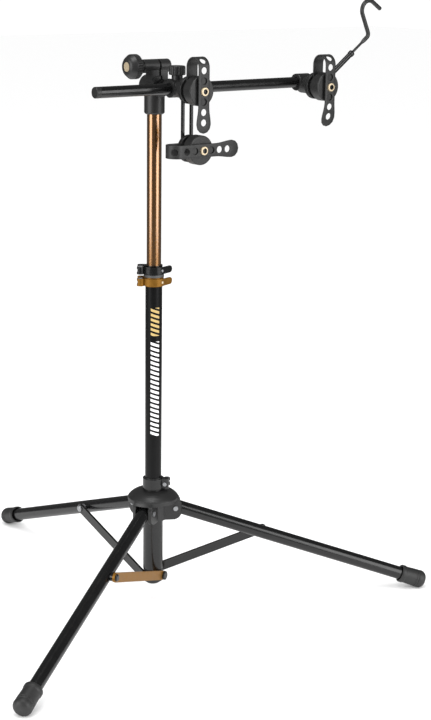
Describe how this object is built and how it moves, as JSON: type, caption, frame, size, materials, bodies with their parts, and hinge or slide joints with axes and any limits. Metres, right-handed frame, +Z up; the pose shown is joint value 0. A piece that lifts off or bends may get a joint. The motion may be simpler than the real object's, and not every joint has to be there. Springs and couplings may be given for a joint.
{
  "type": "bike repair stand",
  "caption": "Folding work stand for bicycles: tripod with braced legs, telescopic mast, tilting bar with strap cradles, and a sprung-out hook on its end.",
  "frame": {"origin": "on the floor, under the axis of the mast", "axes": "+Z up along the mast, +X along the bar towards the hook, the cradles face -Y"},
  "size_m": [1.0666, 0.9286, 1.276],
  "materials": {
    "black_tube": "satin black anodised tube",
    "copper_tube": "polished copper-coloured anodising",
    "copper_metal": "satin copper-coloured anodising",
    "black_metal": "satin black",
    "black_plastic": "fine-textured glass-filled nylon",
    "grey_plastic": "smooth",
    "steel": "zinc plated",
    "gold_metal": "pale gold anodising",
    "strap_rubber": "matte",
    "foot_rubber": "matte",
    "hook_coating": "smooth dipped coating"
  },
  "bodies": {
    "mast": {"mast_tube": "black_tube", "mast_foot": "black_plastic", "mast_end_cap": "black_plastic", "brace_pivot_bolts": "black_plastic", "mast_bush": "grey_plastic", "mast_clamp": "copper_metal", "mast_clamp_bolt": "steel", "collar_washer": "grey_plastic"},
    "mast_lever": {"mast_clamp_lever": "copper_metal"},
    "collar": {"stop_collar": "black_metal", "stop_collar_bolt": "steel"},
    "collar_lever": {"stop_collar_lever": "black_metal"},
    "hub": {"hub": "black_plastic", "sleeve": "black_tube", "sleeve_bushes": "grey_plastic", "hub_clamp": "black_metal", "hub_clamp_bolt": "steel", "leg_pivot_bolts": "steel"},
    "hub_lever": {"hub_clamp_lever": "black_metal"},
    "leg_rear": {"leg_rear": "black_tube", "foot_cap_rear": "foot_rubber"},
    "leg_left": {"leg_left": "black_tube", "foot_cap_left": "foot_rubber"},
    "leg_right": {"leg_right": "black_tube", "foot_cap_right": "foot_rubber"},
    "brace_rear": {"brace_rear": "black_tube", "brace_bolt_rear": "steel"},
    "brace_left": {"brace_left": "copper_metal", "brace_bolt_left": "black_metal"},
    "brace_right": {"brace_right": "black_tube", "brace_bolt_right": "steel"},
    "upper": {"upper_tube": "copper_tube", "head_clamp": "black_plastic", "tilt_nut": "steel"},
    "tilt_knob": {"tilt_stud": "steel", "tilt_knob": "black_plastic", "knob_badge": "gold_metal"},
    "arm": {"arm_tube": "black_tube", "bar_block": "black_plastic", "slotted_bracket": "black_metal", "cradle_bolt_mid": "gold_metal"},
    "bar_knob": {"bar_knob": "black_plastic"},
    "bar": {"bar_tube": "black_tube", "bar_end_cap": "black_plastic", "end_block": "black_plastic", "cradle_bolt_end": "gold_metal", "hook_pin": "steel"},
    "slider": {"bracket_nut": "steel", "cradle_bolt_low": "gold_metal"},
    "cradle_mid": {"cradle_base_mid": "black_plastic", "cradle_drum_mid": "black_plastic", "strap_mid": "strap_rubber"},
    "cradle_end": {"cradle_base_end": "black_plastic", "cradle_drum_end": "black_plastic", "strap_end": "strap_rubber"},
    "cradle_low": {"cradle_base_low": "black_plastic", "cradle_drum_low": "black_plastic", "strap_low": "strap_rubber"},
    "hook_tube": {"hook_tube": "black_tube"},
    "hook_rod": {"hook_rod": "hook_coating"}
  },
  "joints": [
    {"name": "hub_slide", "type": "slide", "parent": "mast", "child": "hub", "axis": [0, 0, 1], "range_m": [0, 0.3073]},
    {"name": "leg_rear_fold", "type": "hinge", "parent": "hub", "child": "leg_rear", "pos_m": [0, 0.046, 0.214], "axis": [-1, 0, 0], "range_deg": [0, 70.5]},
    {"name": "leg_left_fold", "type": "hinge", "parent": "hub", "child": "leg_left", "pos_m": [-0.03984, -0.023, 0.214], "axis": [0.5, -0.866, 0], "range_deg": [0, 70.5]},
    {"name": "leg_right_fold", "type": "hinge", "parent": "hub", "child": "leg_right", "pos_m": [0.03984, -0.023, 0.214], "axis": [0.5, 0.866, 0], "range_deg": [0, 70.5]},
    {"name": "brace_rear_fold", "type": "hinge", "parent": "mast", "child": "brace_rear", "pos_m": [-0.0235, 0, 0.059], "axis": [1, 0, 0], "range_deg": [0, 60.46]},
    {"name": "brace_left_fold", "type": "hinge", "parent": "mast", "child": "brace_left", "pos_m": [0.01175, -0.02035, 0.059], "axis": [-0.5, 0.866, 0], "range_deg": [0, 60.46]},
    {"name": "brace_right_fold", "type": "hinge", "parent": "mast", "child": "brace_right", "pos_m": [0.01175, 0.02035, 0.059], "axis": [-0.5, -0.866, 0], "range_deg": [0, 60.46]},
    {"name": "hub_lever_turn", "type": "hinge", "parent": "hub", "child": "hub_lever", "pos_m": [0.02847, -0.0107, 0.2675], "axis": [0, 0, -1], "range_deg": [0, 105]},
    {"name": "mast_lever_turn", "type": "hinge", "parent": "mast", "child": "mast_lever", "pos_m": [-0.02979, 0.00611, 0.7065], "axis": [0, 0, -1], "range_deg": [0, 105]},
    {"name": "collar_turn", "type": "hinge", "parent": "mast", "child": "collar", "pos_m": [0, 0, 0.73], "axis": [0, 0, 1], "continuous": true},
    {"name": "collar_lever_turn", "type": "hinge", "parent": "collar", "child": "collar_lever", "pos_m": [-0.02979, 0.00611, 0.7311], "axis": [0, 0, -1], "range_deg": [0, 105]},
    {"name": "height_slide", "type": "slide", "parent": "collar", "child": "upper", "axis": [0, 0, 1], "range_m": [-0.285, 0.18]},
    {"name": "arm_tilt", "type": "hinge", "parent": "upper", "child": "arm", "pos_m": [0, 0, 1.106], "axis": [0, 1, 0], "continuous": true},
    {"name": "tilt_knob_turn", "type": "hinge", "parent": "upper", "child": "tilt_knob", "pos_m": [-0.06, -0.008, 1.146], "axis": [1, 0, 0], "continuous": true},
    {"name": "bar_slide", "type": "slide", "parent": "arm", "child": "bar", "axis": [1, 0, 0], "range_m": [-0.165, 0.15]},
    {"name": "bar_knob_turn", "type": "hinge", "parent": "arm", "child": "bar_knob", "pos_m": [0, -0.075, 1.14], "axis": [0, 0, 1], "continuous": true},
    {"name": "cradle_mid_turn", "type": "hinge", "parent": "arm", "child": "cradle_mid", "pos_m": [0, -0.13, 1.106], "axis": [0, 1, 0], "range_deg": [-90, 90]},
    {"name": "cradle_end_turn", "type": "hinge", "parent": "bar", "child": "cradle_end", "pos_m": [0.33, -0.13, 1.101], "axis": [0, 1, 0], "range_deg": [-90, 90]},
    {"name": "low_cradle_slide", "type": "slide", "parent": "arm", "child": "slider", "axis": [0, 0, 1], "range_m": [-0.006, 0.012]},
    {"name": "cradle_low_turn", "type": "hinge", "parent": "slider", "child": "cradle_low", "pos_m": [0, -0.13, 0.992], "axis": [0, 1, 0], "range_deg": [-35, 35]},
    {"name": "hook_swing", "type": "hinge", "parent": "bar", "child": "hook_tube", "pos_m": [0.367, -0.1, 1.106], "axis": [0, -1, 0], "range_deg": [-70, 45]},
    {"name": "hook_reach", "type": "slide", "parent": "hook_tube", "child": "hook_rod", "axis": [0.8049, 0, 0.5934], "range_m": [-0.028, 0.03]}
  ],
  "couplings": [
    {"joint": "leg_rear_fold", "follows": "hub_slide", "rad_per_m": 4.0013},
    {"joint": "leg_left_fold", "follows": "hub_slide", "rad_per_m": 4.0013},
    {"joint": "leg_right_fold", "follows": "hub_slide", "rad_per_m": 4.0013},
    {"joint": "brace_rear_fold", "follows": "hub_slide", "rad_per_m": 3.431},
    {"joint": "brace_left_fold", "follows": "hub_slide", "rad_per_m": 3.431},
    {"joint": "brace_right_fold", "follows": "hub_slide", "rad_per_m": 3.431}
  ]
}
